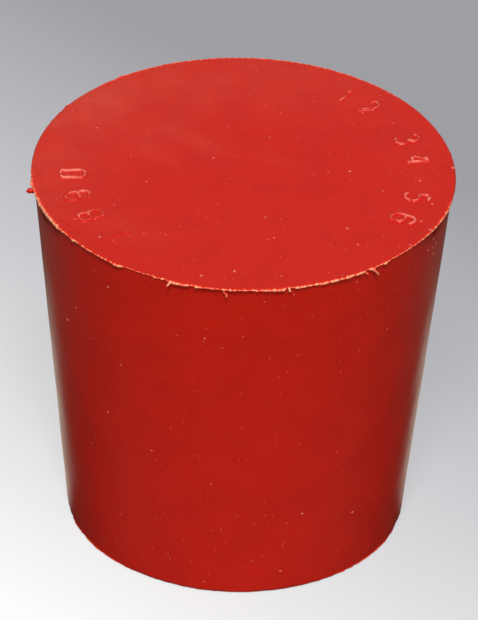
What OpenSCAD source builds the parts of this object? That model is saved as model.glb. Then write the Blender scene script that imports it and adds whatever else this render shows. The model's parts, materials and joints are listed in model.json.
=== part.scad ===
// Solid rubber stopper, 26/32 x 30 mm: a tapered plug with no hole through it, moulded in one piece.
// The mould parts at the large end, so a thin ragged flash is left round the edge of that face, with a
// few threads and crumbs of rubber torn loose where the stopper was trimmed out of its sheet.
// Millimetres. The origin is the centre of the small end's face, and +Z points to the large end.

/* [Plug] */
// Diameter of the small end, which enters the neck first
small_d = 26; // [16:0.5:31]
// Diameter of the large end, where a thumb presses, inside its flash
large_d = 31.7; // [27:0.1:45]
// Height from the small end's face to the large end's face
plug_h = 30; // [12:1:60]
// Radius that the mould gives the small end's edge
foot_edge_r = 0.4; // [0.2:0.1:2]

/* [Flash] */
// Thickness of the flash, measured down from the large face
flash_t = 0.18; // [0.1:0.02:0.5]
// Average distance that the flash stands out from the large end
flash_w = 0.15; // [0.08:0.01:0.4]
// How far off centre the stopper was trimmed out of its sheet, which leaves the flash wider on one side
trim_shift = 0.04; // [0:0.01:0.1]
// How far the torn edge of the flash wanders in and out
flash_wander = 0.05; // [0:0.01:0.1]
// Thickness of the threads that hang from the flash
thread_d = 0.16; // [0.1:0.02:0.3]

/* [Hidden] */
$fn = 96;

large_r = large_d / 2;
small_r = small_d / 2;
// Angle that the tapered side leans out from the vertical
taper = atan2(large_r - small_r, plug_h);
// Narrowest that the flash gets where it was trimmed closest
flash_min = 0.03;
// Points round the flash's torn outline
flash_steps = 540;

// How far inside the plug's edge a thread or a barb starts
root_in = 0.06;

// Direction in which the trimming was off centre
trim_turn = 150;

// Places where the trimming left the flash wider, or cut it back where the extra is negative:
// [angle round the stopper, extra width, half of the stretch in degrees]
TEARS = [
    [12, 0.05, 1.0], [66, 0.07, 1.4], [127, 0.12, 1.6], [148, 0.10, 1.2], [187.5, 0.08, 1.8],
    [192, 0.16, 1.0], [206, 0.04, 4.0], [219, 0.05, 0.7], [234.4, 0.09, 1.2], [243, -0.12, 6.0],
    [251.4, 0.12, 1.0], [254.6, 0.08, 1.6], [257.2, -0.09, 0.5], [258.3, 0.10, 0.8], [262, 0.04, 1.8],
    [272, -0.03, 2.0], [278, 0.03, 1.5], [281.2, 0.10, 0.8], [282.4, -0.18, 0.4], [283.2, 0.06, 0.4],
    [305.4, -0.10, 0.5], [307, 0.08, 0.8], [312, 0.08, 0.7], [319, -0.04, 5.0]
];

// Threads torn loose from the flash, each bent down in an arc:
// [angle round the stopper, turn of the arc away from straight out, radius of the arc, sweep of the arc]
THREADS = [[251.3, -27, 0.62, 42], [265.8, 13, 0.36, 104], [307.3, 37, 0.68, 58]];

// Barbs, which are shorter and straight:
// [angle round the stopper, turn away from straight out, slope down from level, length, share of thread_d]
BARBS = [[283.1, 20, 66, 0.36, 1.3], [300.2, 48, 56, 0.30, 0.9], [305, 48, 44, 0.50, 0.9]];

// Crumbs of rubber that cling to the flash: [angle, distance out from the large end, radius]
CRUMBS = [[148, 0.16, 0.11], [192, 0.38, 0.22], [281.3, 0.14, 0.12]];

// Difference between two directions, from 0 to 180 degrees
function turn_between(a, b) = abs((a - b + 540) % 360 - 180);

// Sum of a list
function total(list, i = 0) = i == len(list) ? 0 : list[i] + total(list, i + 1);

// Fine wandering of the torn edge, from three waves that don't repeat together
function wander(a) = flash_wander * (sin(11 * a + 20) + 0.8 * sin(29 * a) + 0.7 * sin(67 * a + 75)) / 2;

// Extra width that every tear adds at one angle
function torn(a) = total([for (t = TEARS) t[1] * exp(-pow(turn_between(a, t[0]) / t[2], 2))]);

// Width of the flash at one angle
function flash_width(a) = flash_w + trim_shift * cos(a - trim_turn) + wander(a) + torn(a);

// Distance from the axis to the torn edge at one angle
function flash_r(a) = large_r + max(flash_min, flash_width(a));

// Half section of the plug: flat ends, a straight taper, and a rolled edge at the small end.
// The roll's circle touches the small end's face and the tapered side.
module plug_section() {
    // Across the roll's centre, the side stands this far out from the axis
    side_r = small_r + foot_edge_r * tan(taper);
    roll_x = side_r - foot_edge_r / cos(taper);
    // Where the roll runs into the tapered side
    meet = [roll_x + foot_edge_r * cos(taper), foot_edge_r - foot_edge_r * sin(taper)];
    polygon([[0, 0], [roll_x, 0], [roll_x, foot_edge_r], meet, [large_r, plug_h], [0, plug_h]]);
    translate([roll_x, foot_edge_r])
        intersection() {
            circle(foot_edge_r);
            polygon([[0, 0], [0, -foot_edge_r], [2 * foot_edge_r, -foot_edge_r],
                     [2 * foot_edge_r, meet[1] - foot_edge_r], meet - [roll_x, foot_edge_r]]);
        }
}

// The moulded plug itself
module plug() {
    rotate_extrude() plug_section();
}

// The thin film of rubber round the large face, flush with that face, with its torn outline
module flash_film() {
    outline = [for (i = [0 : flash_steps - 1]) let (a = i * 360 / flash_steps)
        flash_r(a) * [cos(a), sin(a)]];
    translate([0, 0, plug_h - flash_t]) linear_extrude(flash_t) polygon(outline);
}

// Moves what it holds to where a thread or barb leaves the plug, level with the film.
// aside turns it away from straight out, to either side.
module at_root(a, aside) {
    rotate([0, 0, a])
        translate([large_r - root_in, 0, plug_h - max(flash_t, thread_d) / 2])
            rotate([0, 0, aside]) children();
}

// One thread torn loose from the flash, bent down in an arc, with a narrow torn tip
module thread(a, aside, bend_r, sweep) {
    at_root(a, aside)
        translate([0, 0, -bend_r])
            rotate([90, 0, 0])
                // The arc runs from straight up, inside the plug, round and down to the loose end
                rotate([0, 0, 90 - sweep]) {
                    rotate_extrude(angle = sweep) translate([bend_r, 0]) circle(thread_d / 2);
                    translate([bend_r, 0])
                        rotate([90, 0, 0]) cylinder(thread_d, thread_d / 2, thread_d / 4);
                }
}

// One straight barb, which narrows to its torn end
module barb(a, aside, slope, length, share) {
    at_root(a, aside)
        rotate([0, 90 + slope, 0]) cylinder(length, share * thread_d / 2, share * thread_d / 3);
}

// One crumb that clings to the torn edge, no higher than the large face
module crumb(a, out, r) {
    rotate([0, 0, a]) translate([large_r + out, 0, plug_h - r]) sphere(r);
}

// The whole stopper is one moulding, so plug, film, threads, barbs and crumbs are one solid
module stopper() {
    color([0.79, 0.18, 0.14])
        union() {
            plug();
            flash_film();
            for (t = THREADS) thread(t[0], t[1], t[2], t[3]);
            for (b = BARBS) barb(b[0], b[1], b[2], b[3], b[4]);
            for (c = CRUMBS) crumb(c[0], c[1], c[2]);
        }
}

stopper();
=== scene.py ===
"""A solid red rubber stopper on a pale sheet, laid out as a Blender add-on and run as a script.

The stopper is a tapered plug moulded in one piece. The looks here stand in for the frame's one node:
the plug with its slightly uneven moulded skin, the thin torn flash round its large end, the threads and
crumbs of rubber that hang from the flash, dust, painted shade under the flash that also stands for a
little dirt, and small raised digits. Pale colour also paints highlights on the flash's lip, its threads
and crumbs, the small end's lip and the digits' crests.
Lengths are in metres, and the frame gives the places: +Z runs up the axis from the small end.
"""

import json
import math

import bpy
import numpy as np
from bpy.props import FloatProperty, FloatVectorProperty, IntProperty, PointerProperty
from mathutils import Matrix, Vector


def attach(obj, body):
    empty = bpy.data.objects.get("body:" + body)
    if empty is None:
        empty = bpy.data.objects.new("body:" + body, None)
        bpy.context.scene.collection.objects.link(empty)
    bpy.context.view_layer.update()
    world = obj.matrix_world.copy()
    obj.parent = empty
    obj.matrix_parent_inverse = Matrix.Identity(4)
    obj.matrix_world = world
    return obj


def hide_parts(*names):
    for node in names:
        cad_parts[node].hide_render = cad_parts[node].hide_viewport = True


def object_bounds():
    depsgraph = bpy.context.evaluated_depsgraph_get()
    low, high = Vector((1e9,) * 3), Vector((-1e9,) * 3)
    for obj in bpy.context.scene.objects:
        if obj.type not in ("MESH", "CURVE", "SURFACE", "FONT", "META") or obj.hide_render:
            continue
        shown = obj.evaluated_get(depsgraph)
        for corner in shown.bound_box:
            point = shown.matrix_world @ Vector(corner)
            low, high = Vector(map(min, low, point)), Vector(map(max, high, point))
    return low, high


bl_info = {
    "name": "Rubber Stopper",
    "version": (1, 0, 0),
    "blender": (4, 5, 0),
    "location": "View3D > Sidebar > Stopper",
    "description": "Builds a moulded rubber stopper with its flash and raised digits",
    "category": "Object",
}

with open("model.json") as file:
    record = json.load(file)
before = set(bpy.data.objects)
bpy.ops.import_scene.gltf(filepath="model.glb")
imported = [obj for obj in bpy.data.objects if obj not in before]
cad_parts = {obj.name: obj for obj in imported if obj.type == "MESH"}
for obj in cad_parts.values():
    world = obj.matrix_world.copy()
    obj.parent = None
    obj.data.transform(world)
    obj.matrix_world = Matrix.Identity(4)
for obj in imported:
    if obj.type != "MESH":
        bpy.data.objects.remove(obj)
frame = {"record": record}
CAD_LOW, CAD_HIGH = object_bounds()

MM = 0.001
TAU = 2 * math.pi
NODE = "stopper"
BODY = "root"
RUBBER = "moulded_rubber"

MOUNTS = {mount["name"]: mount for mount in frame["record"]["mounts"]}
BASE_Z = MOUNTS["small_end_face"]["pos_m"][2]
TOP_Z = MOUNTS["large_end_face"]["pos_m"][2]
HEIGHT = TOP_Z - BASE_Z
MIDDLE_R = MOUNTS["taper_seat"]["dims"]["r_mm"] * MM

# Average width and thickness of the flash that the rim's table is written for
FLASH_WIDTH = 0.15 * MM
FLASH_THICKNESS = 0.18 * MM


# ---- Settings that a user may change ----


def length_setting(name, description, default):
    """A setting that holds a length."""
    return FloatProperty(name=name, description=description, default=default, unit="LENGTH")


def colour_setting(name, description, default):
    """A setting that holds a linear colour."""
    return FloatVectorProperty(name=name, description=description, default=default, subtype="COLOR", size=3)


class StopperSizes(bpy.types.PropertyGroup):
    """Sizes of the stopper's own details, apart from those that the frame sets"""

    taper: FloatProperty(
        name="Taper",
        description="How far the side leans out for each unit of height",
        default=0.095,
        min=0.0,
        max=0.3,
    )
    foot_edge: length_setting(
        "Small End's Edge", "Radius that rounds the edge of the small end", 0.4 * MM
    )
    flash_width: length_setting(
        "Flash Width", "Average distance that the flash stands out from the large end", FLASH_WIDTH
    )
    flash_thickness: length_setting(
        "Flash Thickness", "Average thickness of the flash where it leaves the side", FLASH_THICKNESS
    )
    thread_width: length_setting(
        "Thread Width", "Thickness of the torn threads where they leave the flash", 0.15 * MM
    )
    digit_height: length_setting(
        "Digit Height", "Height of a raised digit from foot to head", 1.85 * MM
    )
    digit_width: length_setting("Digit Width", "Width of a raised digit", 1.20 * MM)
    digit_stroke: length_setting(
        "Digit Stroke", "Width of the raised line that draws a digit", 0.40 * MM
    )
    digit_relief: length_setting(
        "Digit Relief", "How far a digit stands up from the large end's face", 0.135 * MM
    )
    round_steps: IntProperty(
        name="Steps Round The Plug",
        description="Number of mesh steps round the plug",
        default=720,
        min=96,
    )
    flash_steps: IntProperty(
        name="Steps Round The Flash",
        description="Number of mesh steps round the torn flash",
        default=2880,
        min=360,
    )


class StopperColours(bpy.types.PropertyGroup):
    """Colours and finish of the rubber, as linear colours"""

    rubber: colour_setting("Rubber", "Main colour of the red rubber", (0.585, 0.0128, 0.0055))
    # Brighter red of stretched rubber, which also paints highlights along the small end's lip and the
    # flash's lip
    stretched_and_highlight: colour_setting(
        "Stretched Rubber", "Brighter red of rubber that was stretched thin", (0.88, 0.055, 0.026)
    )
    # Pale torn rubber, which also paints the highlights on the flash's lip, its threads and its crumbs
    torn: colour_setting(
        "Torn Rubber", "Pale colour of rubber that was stretched and torn", (0.92, 0.39, 0.205)
    )
    dust: colour_setting("Dust", "Colour of the dust specks on the skin", (0.85, 0.21, 0.16))
    # Colour of the paler patches on the large face, strongest towards its far left
    bloom: colour_setting(
        "Bloom", "Colour of the pale bloom that lies on the large face", (0.95, 0.36, 0.22)
    )
    # Colour of the painted shade under the flash, which also stands for dirt there
    grime: colour_setting(
        "Dirt", "Colour of the dirt that lies under the flash", (0.17, 0.010, 0.006)
    )
    roughness: FloatProperty(
        name="Roughness",
        description="Average roughness of the moulded skin",
        subtype="FACTOR",
        default=0.30,
        min=0.0,
        max=1.0,
    )


class StageSettings(bpy.types.PropertyGroup):
    """Camera, lamps and floor"""

    camera_height: FloatProperty(
        name="Camera Elevation",
        description="Angle of the camera above the floor",
        subtype="ANGLE",
        default=math.radians(34.14),
    )
    camera_roll: FloatProperty(
        name="Camera Roll",
        description="Tilt of the camera about its own line of sight",
        subtype="ANGLE",
        default=math.radians(1.57),
    )
    camera_distance: length_setting(
        "Camera Distance", "Distance from the camera to the point that it looks at", 531 * MM
    )
    camera_aim: length_setting(
        "Camera Aim", "Height on the axis of the point that the camera looks at", 17.34 * MM
    )
    camera_lens: FloatProperty(
        name="Camera Lens",
        description="Focal length in millimetres, for a sensor 36 mm on its long side",
        default=403.6,
    )
    key_power: FloatProperty(
        name="Key Lamp",
        description="Power of the soft lamp in front and above, in watts",
        default=17.4,
    )
    fill_power: FloatProperty(
        name="Fill Lamp",
        description="Power of the broad low lamp behind the camera, in watts",
        default=8.0,
    )
    room_light: FloatProperty(
        name="Room Light",
        description="Strength of the even light from all round",
        default=0.285,
    )


# ---- Mesh tools ----


def waves(angle, low, high, size, seed, falloff=0.5):
    """A random but repeatable wavy line round the plug, of about the given size.

    It is a sum of cosines of whole numbers of turns from low to high, each with a random phase, and each
    with a weight of its number of turns to the power -falloff, scaled so that the sum's spread is size.
    """
    rng = np.random.default_rng(seed)
    turns = np.arange(low, high + 1)
    phase = rng.uniform(0, TAU, len(turns))
    weight = turns.astype(float) ** -falloff
    weight *= size * math.sqrt(2) / math.sqrt((weight**2).sum())
    return (weight[:, None] * np.cos(turns[:, None] * angle[None, :] + phase[:, None])).sum(0)


def ripples(spots, wavelengths, size, seed, count=40):
    """Random, smooth and repeatable ripples at an array of points in space, of about the given size.

    It is a sum of plane cosine waves with random directions and phases, and with wavelengths spread
    evenly between the two given, on a log scale.
    """
    rng = np.random.default_rng(seed)
    total = np.zeros(spots.shape[:-1])
    for wavelength in np.geomspace(wavelengths[0], wavelengths[1], count):
        heading = rng.normal(size=3)
        heading /= np.linalg.norm(heading)
        total += np.cos(TAU / wavelength * (spots @ heading) + rng.uniform(0, TAU))
    return total * size * math.sqrt(2 / count)


def hump(values, centre, half):
    """A smooth bump of height 1 at centre, by the bell curve exp(-((value - centre) / half) squared)."""
    return np.exp(-(((values - centre) / half) ** 2))


def bell(angle, centre, half):
    """The same bump round the plug: the angle is in radians, and centre and half are in degrees."""
    return hump((np.degrees(angle) - centre + 540) % 360 - 180, 0, half)


def eased(count):
    """Shares from 0 to 1 that lie closer together near both ends: (1 - cos u) / 2 for even steps of u."""
    return (1 - np.cos(np.linspace(0, math.pi, count))) / 2


def even_turn(count):
    """Even steps of angle round a full turn, without the step that meets the first."""
    return np.arange(count) * TAU / count


def turned(r, angle, z):
    """Points (r cos a, r sin a, z) for whole arrays of radius, angle and height."""
    return np.stack([r * np.cos(angle), r * np.sin(angle), z], -1)


def unit(vectors):
    """Rows of vectors, each divided by its length."""
    return vectors / np.linalg.norm(vectors, axis=1)[:, None]


NO_TRIANGLES = np.zeros((0, 3), int)


def new_object(name, points, quads, triangles):
    """Makes a smooth mesh object from whole arrays of points, of quads and of triangles."""
    corners = np.concatenate([quads.ravel(), triangles.ravel()]).astype(np.int32)
    sizes = np.concatenate([np.full(len(quads), 4), np.full(len(triangles), 3)]).astype(np.int32)
    starts = np.concatenate([[0], np.cumsum(sizes)[:-1]]).astype(np.int32)
    mesh = bpy.data.meshes.new(name)
    mesh.vertices.add(len(points))
    mesh.vertices.foreach_set("co", points.astype(np.float32).ravel())
    mesh.loops.add(len(corners))
    mesh.loops.foreach_set("vertex_index", corners)
    mesh.polygons.add(len(sizes))
    mesh.polygons.foreach_set("loop_start", starts)
    mesh.polygons.foreach_set("loop_total", sizes)
    mesh.polygons.foreach_set("use_smooth", np.ones(len(sizes), bool))
    mesh.update(calc_edges=True)
    mesh.validate()
    piece = bpy.data.objects.new(name, mesh)
    bpy.context.scene.collection.objects.link(piece)
    return piece


def grid_quads(rows, columns, close_rows):
    """Quads of a grid whose columns run round and meet, and whose rows meet too if close_rows."""
    row = np.arange(rows if close_rows else rows - 1)
    column = np.arange(columns)
    a, b = np.meshgrid(row, column, indexing="ij")
    above = (a + 1) % rows
    beside = (b + 1) % columns
    quads = [a * columns + b, a * columns + beside, above * columns + beside, above * columns + b]
    return np.stack(quads, -1).reshape(-1, 4)


def closed_tube(points, start, end):
    """Points, quads and end triangles of a tube of rings (rings, sides, 3), closed on two end points."""
    rings, sides = points.shape[:2]
    side = np.arange(sides)
    beside = (side + 1) % sides
    first = rings * sides
    last = (rings - 1) * sides
    head = np.stack([np.full(sides, first), beside, side], -1)
    tail = np.stack([np.full(sides, first + 1), last + side, last + beside], -1)
    everything = np.concatenate([points.reshape(-1, 3), [start], [end]])
    return everything, grid_quads(rings, sides, False), np.concatenate([head, tail])


def joined(parts):
    """Several (points, quads, triangles) as one, with their point numbers moved up."""
    points, quads, triangles, count = [], [], [], 0
    for part_points, part_quads, part_triangles in parts:
        points.append(part_points)
        quads.append(part_quads + count)
        triangles.append(part_triangles + count)
        count += len(part_points)
    return np.concatenate(points), np.concatenate(quads), np.concatenate(triangles)


def for_each_point(values, parts):
    """One value for each part, given to each of its points."""
    return np.repeat(values, [len(part_points) for part_points, _, _ in parts])


def make_piece(name, points, quads, triangles, **attributes):
    """Makes a piece of the rubber, and ties it to the frame in place of the plain node.

    Each attribute holds one number for each point, for the material to read.
    """
    piece = new_object(name, points, quads, triangles)
    for attribute_name, values in attributes.items():
        attribute = piece.data.attributes.new(attribute_name, "FLOAT", "POINT")
        attribute.data.foreach_set("value", values.astype(np.float32).ravel())
    piece.data.materials.append(bpy.data.materials[RUBBER])
    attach(piece, BODY)
    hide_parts(NODE)


# ---- Shader tools ----


def operator_node(operation, swapped=False):
    """A method that adds the Math node of one operator, with its two inputs swapped if asked for."""

    def method(self, other):
        inputs = (other, self) if swapped else (self, other)
        return self.math(operation, *inputs)

    return method


class Value:
    """A shader socket that can be used in sums. Each sum adds a Math node."""

    def __init__(self, shader, socket):
        self.shader = shader
        self.socket = socket

    def math(self, operation, *inputs):
        """Adds a Math node and gives its result."""
        return self.shader.node("ShaderNodeMath", {"operation": operation}, dict(enumerate(inputs))).out()

    __add__ = operator_node("ADD")
    __radd__ = operator_node("ADD", swapped=True)
    __sub__ = operator_node("SUBTRACT")
    __rsub__ = operator_node("SUBTRACT", swapped=True)
    __mul__ = operator_node("MULTIPLY")
    __rmul__ = operator_node("MULTIPLY", swapped=True)
    __truediv__ = operator_node("DIVIDE")
    __rtruediv__ = operator_node("DIVIDE", swapped=True)
    __pow__ = operator_node("POWER")
    __rpow__ = operator_node("POWER", swapped=True)
    __lt__ = operator_node("LESS_THAN")
    __gt__ = operator_node("GREATER_THAN")

    def __abs__(self):
        return self.math("ABSOLUTE", self)

    def clamp(self, low, high):
        """The value itself, but no lower than low and no higher than high."""
        return self.shader.node("ShaderNodeClamp", None, {"Value": self, "Min": low, "Max": high}).out()

    def smooth(self, low, high):
        """0 below low, 1 above high, and a smooth step between them."""
        settings = {"interpolation_type": "SMOOTHSTEP"}
        inputs = {"Value": self, "From Min": low, "From Max": high, "To Min": 0.0, "To Max": 1.0}
        return self.shader.node("ShaderNodeMapRange", settings, inputs).out()


class Node:
    """A node that has been added, with its outputs by name or number."""

    def __init__(self, shader, node):
        self.shader = shader
        self.node = node

    def out(self, name=0):
        """One of its outputs, ready for sums."""
        return Value(self.shader, self.node.outputs[name])


class Shader:
    """The node tree of one material or world, empty but for its output."""

    def __init__(self, owner):
        owner.use_nodes = True
        self.tree = owner.node_tree
        self.tree.nodes.clear()

    def node(self, kind, settings=None, inputs=None):
        """Adds a node: its settings first, then the value or link of each of its inputs."""
        node = self.tree.nodes.new(kind)
        for name, value in (settings or {}).items():
            setattr(node, name, value)
        for name, value in (inputs or {}).items():
            if isinstance(value, Value):
                self.tree.links.new(value.socket, node.inputs[name])
            else:
                node.inputs[name].default_value = value
        return Node(self, node)

    def mix(self, factor, first, second):
        """A mix of two colours, each a colour or a socket."""
        inputs = {"Factor": factor, 6: colour4(first), 7: colour4(second)}
        return self.node("ShaderNodeMix", {"data_type": "RGBA"}, inputs).out(2)

    def rgb(self, red, green, blue):
        """A colour from its three parts."""
        return self.node("ShaderNodeCombineColor", None, {0: red, 1: green, 2: blue}).out()

    def attribute(self, name):
        """The number that a mesh stores at its points under a name, or 0 where it stores none."""
        return self.node("ShaderNodeAttribute", {"attribute_name": name}).out("Fac")

    def noise(self, place, scale, detail, roughness):
        """Smooth noise, about 0.5 on average."""
        inputs = {"Vector": place, "Scale": scale, "Detail": detail, "Roughness": roughness}
        return self.node("ShaderNodeTexNoise", None, inputs).out(0)


def colour4(value):
    """A colour with its alpha of 1, where it isn't a socket."""
    return value if isinstance(value, Value) else (*value, 1.0)


# ---- The rubber's surface ----


# How much darker or lighter than the main colour the mottled skin gets
MOTTLE_SHARE = 0.04
# How far the skin stands up where each of its patterns is strongest, in millimetres
GRAIN_RELIEF = 0.004
MOTTLE_RELIEF = 0.010
SPECK_RELIEF = 0.020
# Layers of dust specks: (cells in each millimetre, radius of a speck in millimetres, share of the cells
# that hold one, how pale)
SPECK_LAYERS = (
    (0.80, 0.090, 0.60, 0.80),
    (1.4, 0.080, 0.70, 0.55),
    (2.4, 0.060, 0.40, 0.30),
)


def rubber_material(colours):
    """The red rubber: mottled, satin, dusty and pale in patches, with painted shade and painted highlights,
    and paler where stretched or torn.
    """
    material = bpy.data.materials.new(RUBBER)
    shader = Shader(material)
    place = shader.node("ShaderNodeTexCoord").out("Object")
    to_mm = {0: place, "Scale": 1 / MM}
    place_mm = shader.node("ShaderNodeVectorMath", {"operation": "SCALE"}, to_mm).out()
    mottle = shader.noise(place_mm, scale=0.30, detail=4.0, roughness=0.55)
    grain = shader.noise(place_mm, scale=5.0, detail=3.0, roughness=0.6)
    cloud = shader.noise(place_mm, scale=0.11, detail=3.0, roughness=0.5)
    # Torn rubber, partly a painted highlight on the flash, the threads, the crumbs and the small end's lip
    torn = shader.attribute("torn")
    grime = shader.attribute("grime")
    speckle = dust_specks(shader, place_mm)
    # Dust, and on the digits' crests also a painted highlight
    dust = (speckle + shader.attribute("dusty")).clamp(0.0, 1.0)

    darker = [c * (1 - MOTTLE_SHARE) for c in colours.rubber]
    lighter = [c * (1 + MOTTLE_SHARE) for c in colours.rubber]
    base = shader.mix(mottle.smooth(0.30, 0.70), darker, lighter)
    # Paler patches on the large face
    base = shader.mix(shader.attribute("bloom"), base, colours.bloom)
    # Painted shade under the flash, darker and rougher, which also stands for dirt there
    base = shader.mix(grime, base, colours.grime)
    base = shader.mix(dust, base, colours.dust)
    base = shader.mix(torn.smooth(0.0, 0.35), base, colours.stretched_and_highlight)
    base = shader.mix(torn.smooth(0.10, 1.0), base, colours.torn)

    # The two noises are 0.5 on average, so half of their shares comes off again
    patches = grain * 0.10 + cloud * 0.08 - 0.09
    roughness = patches + colours.roughness + dust * 0.1 + grime * 0.7
    height = grain * GRAIN_RELIEF + mottle * MOTTLE_RELIEF + speckle * SPECK_RELIEF
    bump = shader.node("ShaderNodeBump", None, {"Strength": 1.0, "Distance": MM, "Height": height}).out()
    inputs = {
        "Base Color": base,
        "Roughness": roughness,
        "Normal": bump,
        "IOR": 1.5,
        "Specular IOR Level": 0.25,
        "Specular Tint": (1.0, 0.88, 0.76, 1.0),
    }
    surface = shader.node("ShaderNodeBsdfPrincipled", None, inputs).out()
    shader.node("ShaderNodeOutputMaterial", None, {"Surface": surface})


def dust_specks(shader, place_mm):
    """Specks of dust: small balls round the seeds of cell patterns, each of its own strength.

    A ball fades by a smooth step towards its radius, and a pattern keeps only a share of its seeds.
    """
    total = None
    for scale, size, kept, strength in SPECK_LAYERS:
        settings = {"feature": "F1", "voronoi_dimensions": "3D"}
        cells = shader.node("ShaderNodeTexVoronoi", settings, {"Vector": place_mm, "Scale": scale})
        pick = shader.node("ShaderNodeSeparateColor", None, {0: cells.out("Color")})
        near = 1 - cells.out("Distance").smooth(size * scale * 0.4, size * scale)
        layer = near * (pick.out("Red") < kept) * (pick.out("Green") * 0.6 + 0.4) * strength
        total = layer if total is None else total + layer
    return total


class STOPPER_OT_rubber(bpy.types.Operator):
    """Make the red rubber that every piece is moulded from"""

    bl_idname = "stopper.rubber"
    bl_label = "Red Rubber"

    def execute(self, context):
        """Makes the material from the colours in the settings."""
        rubber_material(context.scene.stopper_colours)
        return {"FINISHED"}


# ---- The plug ----


def plug_radii(sizes):
    """Radius of the small end and of the large end, from the frame's radius half way up and the taper."""
    reach = sizes.taper * HEIGHT / 2
    return MIDDLE_R - reach, MIDDLE_R + reach


# Rows of the plug's mesh: across the small end's face, round its edge, up the side, close under the flash,
# round the large end's edge, and across the large face
FACE_ROWS = 10
EDGE_ROWS = 14
SIDE_ROWS = 60
UNDER_ROWS = 8
CROWN_ROWS = 5
TOP_ROWS = 34
# Radius of the large end's edge
CROWN = 0.05 * MM


def plug_profile(sizes):
    """Radius and height of each ring of the plug, from the small end's face round to the large end's face.

    The small end's edge is an arc that touches the face and the tapered side. The side is a straight line,
    and the large end's edge is a smaller arc, which the flash hides.
    """
    small_r, large_r = plug_radii(sizes)
    lean = math.atan(sizes.taper)
    edge = sizes.foot_edge
    centre_r = small_r + edge * math.tan(lean) - edge / math.cos(lean)
    face_r = np.linspace(0.1 * small_r, centre_r - edge / 2, FACE_ROWS)
    turn = np.linspace(-math.pi / 2, -lean, EDGE_ROWS)
    edge_r = centre_r + edge * np.cos(turn)
    edge_z = BASE_Z + edge + edge * np.sin(turn)
    start_z = [edge_z[-1] + edge / 4]
    middle_z = np.linspace(edge_z[-1] + edge, TOP_Z - 1.2 * MM, SIDE_ROWS)
    under_z = np.linspace(TOP_Z - 1.05 * MM, TOP_Z - 3 * CROWN, UNDER_ROWS)
    side_z = np.concatenate([start_z, middle_z, under_z])
    side_r = small_r + (side_z - BASE_Z) * sizes.taper
    turn = np.linspace(-lean, math.pi / 2, CROWN_ROWS)
    crown_r = large_r - CROWN + CROWN * np.cos(turn)
    crown_z = TOP_Z - CROWN + CROWN * np.sin(turn)
    top_r = np.linspace(large_r - 3 * CROWN, 0.06 * large_r, TOP_ROWS)
    r = np.concatenate([face_r, edge_r, side_r, crown_r, top_r])
    z = np.concatenate([np.full(FACE_ROWS, BASE_Z), edge_z, side_z, crown_z, np.full(TOP_ROWS, TOP_Z)])
    return r, z


# Paler patches on the large face, strongest towards its far left: (x, y, direction of its long way in
# degrees, half length, half width, strength), with the lengths in millimetres
PALE_PATCHES = (
    (-11.5, 9.5, 50, 5.0, 2.4, 0.060),
    (-15.5, 0.0, 90, 9.0, 5.0, 0.045),
    (-5.5, 12.0, 10, 8.0, 4.5, 0.038),
    (-7.0, 5.0, 20, 6.0, 3.5, 0.018),
    (5.0, 12.5, -20, 8.0, 4.5, 0.026),
    (-3.6, 3.9, -40, 3.2, 0.9, 0.025),
    (-6.6, 2.2, -48, 2.4, 0.9, 0.024),
    (2.6, 1.8, -40, 1.6, 0.8, 0.017),
    (-8.0, -8.5, -30, 3.0, 1.8, 0.022),
    (13.5, 3.0, 90, 6.0, 2.5, 0.010),
)


def pale_patches_on_face(places):
    """How much paler each point is made: a sum of long soft patches, patchy, on the large face alone.

    Each patch is a bump along its long way times a bump across it, times its strength.
    """
    total = np.zeros(len(places))
    x = places[:, 0] / MM
    y = places[:, 1] / MM
    for patch_x, patch_y, turn, half_length, half_width, strength in PALE_PATCHES:
        a = math.radians(turn)
        along = (x - patch_x) * math.cos(a) + (y - patch_y) * math.sin(a)
        across = (y - patch_y) * math.cos(a) - (x - patch_x) * math.sin(a)
        total += strength * hump(along, 0, half_length) * hump(across, 0, half_width)
    patchy = np.clip(1 + ripples(places, (1 * MM, 9 * MM), 0.16, 14), 0.3, None)
    return total * patchy * (places[:, 2] > TOP_Z - 0.05 * MM)


def face_ripples(spots):
    """How far the large face, and the film that continues it, rise and fall: long low ripples."""
    level = spots * (1, 1, 0)
    return ripples(level, (5 * MM, 18 * MM), 0.008 * MM, 13)


# The thin lip that the mould left on the small end's edge: its height above the face, half of its own
# height, how far it stands out, and how stretched its rubber is, which also paints a highlight along the
# edge
FOOT_LIP_HEIGHT = 0.16 * MM
FOOT_LIP_HALF = 0.08 * MM
FOOT_LIP_REACH = 0.06 * MM
FOOT_LIP_TORN_AND_HIGHLIGHT = 0.30
# Where it is left, with its painted highlight: the middle of each stretch and half of its length, in
# degrees round the plug
FOOT_LIPS = ((213, 20), (322, 20))


def foot_lip(z, angle):
    """How much of the lip there is at each height and each angle, from 0 to 1.

    It is a bump of the height times bumps round the plug, which a wavy line makes ragged.
    """
    at_height = hump(z, BASE_Z + FOOT_LIP_HEIGHT, FOOT_LIP_HALF) * (z > BASE_Z)
    round_plug = sum(bell(angle, centre, half) for centre, half in FOOT_LIPS)
    ragged = np.clip(round_plug * (1 + waves(angle, 20, 200, 0.20, 16)), 0, 1)
    return at_height[:, None] * ragged


# Where painted shade darkens the side under the flash, which also stands for dirt there: the middle of each
# stretch, half of its length, and how strong it is
SHADE_AND_DIRT = ((200, 8, 1.0), (338, 8, 0.5))
# How far below the large face it lies, and half of its band's width
SHADE_AND_DIRT_DEPTH = 0.65 * MM
SHADE_AND_DIRT_HALF = 0.50 * MM


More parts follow.
